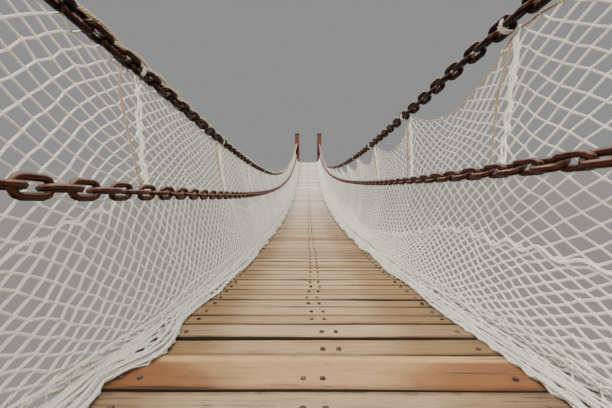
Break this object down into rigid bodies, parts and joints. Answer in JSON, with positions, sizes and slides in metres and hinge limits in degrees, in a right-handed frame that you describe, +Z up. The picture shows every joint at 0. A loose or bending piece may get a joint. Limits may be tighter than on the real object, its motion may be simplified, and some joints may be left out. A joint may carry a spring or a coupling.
{
  "type": "suspension footbridge",
  "caption": "Sagging footbridge of wooden boards on chains, with chain handrails and rope netting along both sides, hung between square end posts.",
  "frame": {"origin": "on the ground under the middle of the span", "axes": "+Y along the walkway away from the near end, +X to the right, +Z up"},
  "size_m": [1.528, 20.428, 3.1303],
  "materials": {
    "weathered_wood": "weathered grey-brown boards, worn pale, with some reddish stains",
    "sill_wood": "weathered beam",
    "post_wood": "red-brown stain, worn",
    "cap_wood": "dark red-brown stain",
    "chain": "rusty steel links",
    "plate_steel": "dark rusty steel",
    "net_rope": "off-white twisted rope, a little soiled"
  },
  "bodies": {
    "root": {"left_handrail_chain_1": "chain", "left_handrail_chain_2": "chain", "left_handrail_chain_3": "chain", "left_handrail_chain_4": "chain", "right_handrail_chain_1": "chain", "right_handrail_chain_2": "chain", "right_handrail_chain_3": "chain", "right_handrail_chain_4": "chain", "left_lower_chain": "chain", "right_lower_chain": "chain", "left_deck_chain": "chain", "middle_deck_chain": "chain", "right_deck_chain": "chain", "deck_bay_1": "weathered_wood", "deck_bay_2": "weathered_wood", "deck_bay_3": "weathered_wood", "deck_bay_4": "weathered_wood", "deck_bay_5": "weathered_wood", "deck_bay_6": "weathered_wood", "near_landing": "weathered_wood", "far_landing": "weathered_wood", "left_net_1": "net_rope", "left_net_2": "net_rope", "left_net_3": "net_rope", "left_net_4": "net_rope", "right_net_1": "net_rope", "right_net_2": "net_rope", "right_net_3": "net_rope", "right_net_4": "net_rope", "left_foot_rope": "net_rope", "right_foot_rope": "net_rope", "near_sill": "sill_wood", "far_sill": "sill_wood", "near_deck_chain_plate": "plate_steel", "far_deck_chain_plate": "plate_steel", "near_left_chain_plate": "plate_steel", "near_right_chain_plate": "plate_steel", "far_left_chain_plate": "plate_steel", "far_right_chain_plate": "plate_steel", "near_left_post": "post_wood", "near_right_post": "post_wood", "far_left_post": "post_wood", "far_right_post": "post_wood", "near_left_cap": "cap_wood", "near_right_cap": "cap_wood", "far_left_cap": "cap_wood", "far_right_cap": "cap_wood"}
  },
  "joints": []
}
